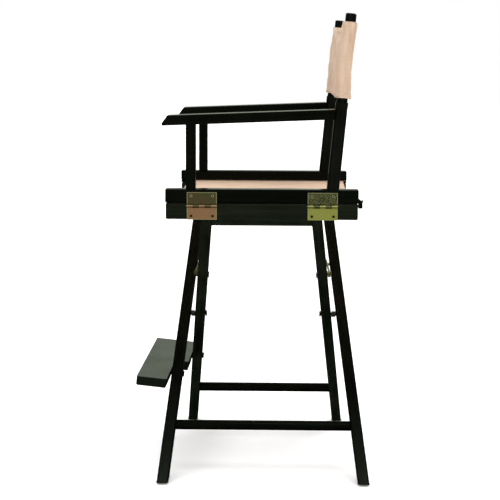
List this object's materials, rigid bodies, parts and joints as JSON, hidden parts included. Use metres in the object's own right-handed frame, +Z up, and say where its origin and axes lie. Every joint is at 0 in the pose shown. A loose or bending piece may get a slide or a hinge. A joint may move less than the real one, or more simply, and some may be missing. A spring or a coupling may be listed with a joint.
{
  "type": "director chair",
  "caption": "Counter-height folding director chair with black lacquered crossed legs, hinged arm frames, tan canvas seat and back, and a footrest board.",
  "frame": {"origin": "on the floor, under the middle of the chair's outline", "axes": "+Z up, +X towards the sitter's left, -Y towards the front and the footrest"},
  "size_m": [0.5647, 0.4931, 0.9713],
  "materials": {
    "lacquered_wood": "gloss black lacquer",
    "canvas": "plain-woven cotton duck",
    "yellow_zinc": "yellow zinc plate",
    "bright_steel": "dull nickel",
    "black_steel": "black oxide",
    "bare_wood": "bare dowel"
  },
  "bodies": {
    "outer_frame": {"outer_front_leg": "lacquered_wood", "outer_rear_leg": "lacquered_wood", "outer_top_rail": "lacquered_wood", "outer_stretcher": "lacquered_wood", "right_lower_rail": "lacquered_wood", "right_lower_hinge_leaves": "yellow_zinc", "right_hinge_pins": "bright_steel", "right_lower_screws": "yellow_zinc", "outer_glides": "bright_steel", "pivot_bolts": "black_steel", "pivot_spacers": "bright_steel", "strap_pegs": "yellow_zinc", "footrest_bolt": "black_steel"},
    "inner_frame": {"inner_front_leg": "lacquered_wood", "inner_rear_leg": "lacquered_wood", "inner_top_rail": "lacquered_wood", "inner_stretcher": "lacquered_wood", "left_lower_rail": "lacquered_wood", "left_lower_hinge_leaves": "yellow_zinc", "left_hinge_pins": "bright_steel", "left_lower_screws": "yellow_zinc", "inner_glides": "bright_steel", "strap_bolts": "yellow_zinc", "strap_nuts": "yellow_zinc", "footrest_peg": "black_steel"},
    "left_arm": {"left_seat_rail": "lacquered_wood", "left_front_post": "lacquered_wood", "left_back_post": "lacquered_wood", "left_armrest": "lacquered_wood", "left_arm_plugs": "lacquered_wood", "left_upper_hinge_leaves": "yellow_zinc", "left_upper_screws": "yellow_zinc", "left_seat_stick": "bare_wood", "left_stop_screw": "bright_steel", "seat_canvas": "canvas", "back_canvas": "canvas"},
    "right_arm": {"right_seat_rail": "lacquered_wood", "right_front_post": "lacquered_wood", "right_back_post": "lacquered_wood", "right_armrest": "lacquered_wood", "right_arm_plugs": "lacquered_wood", "right_upper_hinge_leaves": "yellow_zinc", "right_upper_screws": "yellow_zinc", "right_seat_stick": "bare_wood"},
    "left_stop": {"left_stick_stop": "lacquered_wood"},
    "front_strap": {"front_lock_strap": "yellow_zinc"},
    "rear_strap": {"rear_lock_strap": "yellow_zinc"},
    "footrest_board": {"footrest": "lacquered_wood"}
  },
  "joints": [
    {"name": "leg_fold", "type": "hinge", "parent": "outer_frame", "child": "inner_frame", "pos_m": [0, 0.01745, 0.313], "axis": [0, -1, 0], "range_deg": [0, 72], "deforming": ["seat_canvas", "back_canvas"]},
    {"name": "left_arm_hinge", "type": "hinge", "parent": "inner_frame", "child": "left_arm", "pos_m": [0.2652, 0.01745, 0.582], "axis": [0, 1, 0], "range_deg": [0, 36]},
    {"name": "right_arm_hinge", "type": "hinge", "parent": "outer_frame", "child": "right_arm", "pos_m": [-0.2652, 0.01745, 0.582], "axis": [0, -1, 0], "range_deg": [0, 36]},
    {"name": "front_strap_hinge", "type": "hinge", "parent": "inner_frame", "child": "front_strap", "pos_m": [0.0862, -0.11152, 0.415], "axis": [0, 0.9948, -0.1015], "range_deg": [0, 108]},
    {"name": "rear_strap_hinge", "type": "hinge", "parent": "inner_frame", "child": "rear_strap", "pos_m": [0.0862, 0.14801, 0.415], "axis": [0, 0.9926, 0.1216], "range_deg": [0, 108]},
    {"name": "footrest_lift", "type": "hinge", "parent": "outer_frame", "child": "footrest_board", "pos_m": [0.09803, -0.16676, 0.197], "axis": [0, 0.9948, -0.1015], "range_deg": [0, 25]},
    {"name": "left_stop_turn", "type": "hinge", "parent": "left_arm", "child": "left_stop", "pos_m": [0.25, 0.21445, 0.5925], "axis": [0, -1, 0], "range_deg": [0, 90]}
  ],
  "couplings": [
    {"joint": "left_arm_hinge", "follows": "leg_fold", "ratio": 0.5},
    {"joint": "right_arm_hinge", "follows": "leg_fold", "ratio": 0.5},
    {"joint": "front_strap_hinge", "follows": "leg_fold", "ratio": 1.5},
    {"joint": "rear_strap_hinge", "follows": "leg_fold", "ratio": 1.5}
  ]
}
